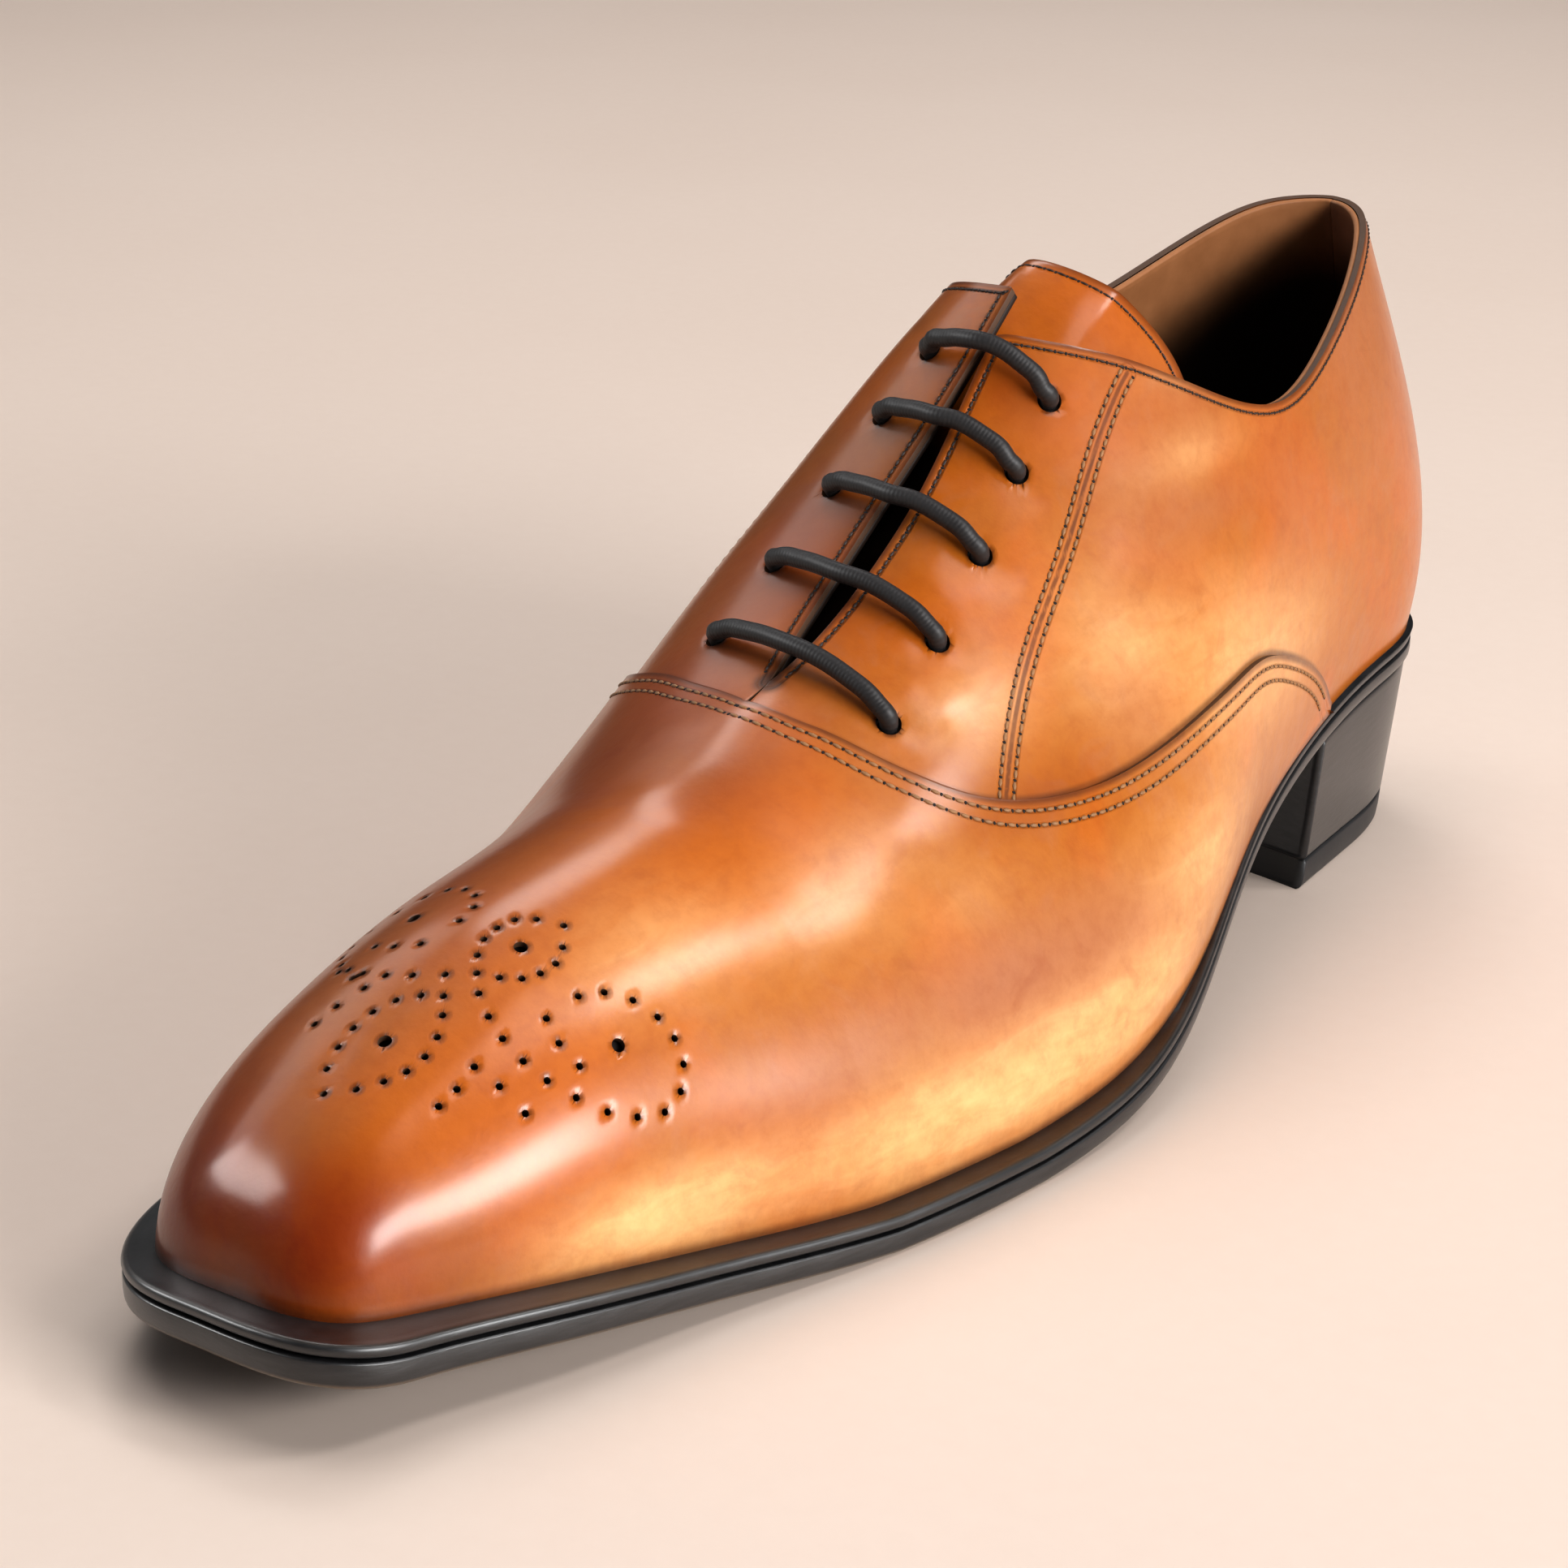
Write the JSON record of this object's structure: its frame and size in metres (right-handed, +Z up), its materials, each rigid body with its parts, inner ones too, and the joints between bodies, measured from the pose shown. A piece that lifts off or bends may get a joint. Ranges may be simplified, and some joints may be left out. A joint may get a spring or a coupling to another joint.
{
  "type": "oxford shoe",
  "caption": "Left men's leather oxford dress shoe with a plain square-chiselled toe, curved whole vamp seam, closed lacing, leather sole and stacked heel.",
  "frame": {"origin": "on the floor, under the middle of the shoe's box", "axes": "+Z up from the floor, +Y from the toe to the heel, +X to the outer side of this left shoe"},
  "size_m": [0.0974, 0.2964, 0.1103],
  "materials": {
    "upper_leather": "glossy burnished cognac calf with a darker toe and seams",
    "lining": "matt tan lining leather",
    "sole_edge": "black dressed leather edge, satin",
    "heel_rubber": "matt black rubber",
    "lace_cord": "round waxed cotton cord, dark brown"
  },
  "bodies": {
    "root": {"outsole": "sole_edge", "welt": "sole_edge", "heel_stack": "sole_edge", "heel_toplift": "heel_rubber", "insole": "lining", "upper": "upper_leather", "tongue": "upper_leather", "lace": "lace_cord"}
  },
  "joints": []
}
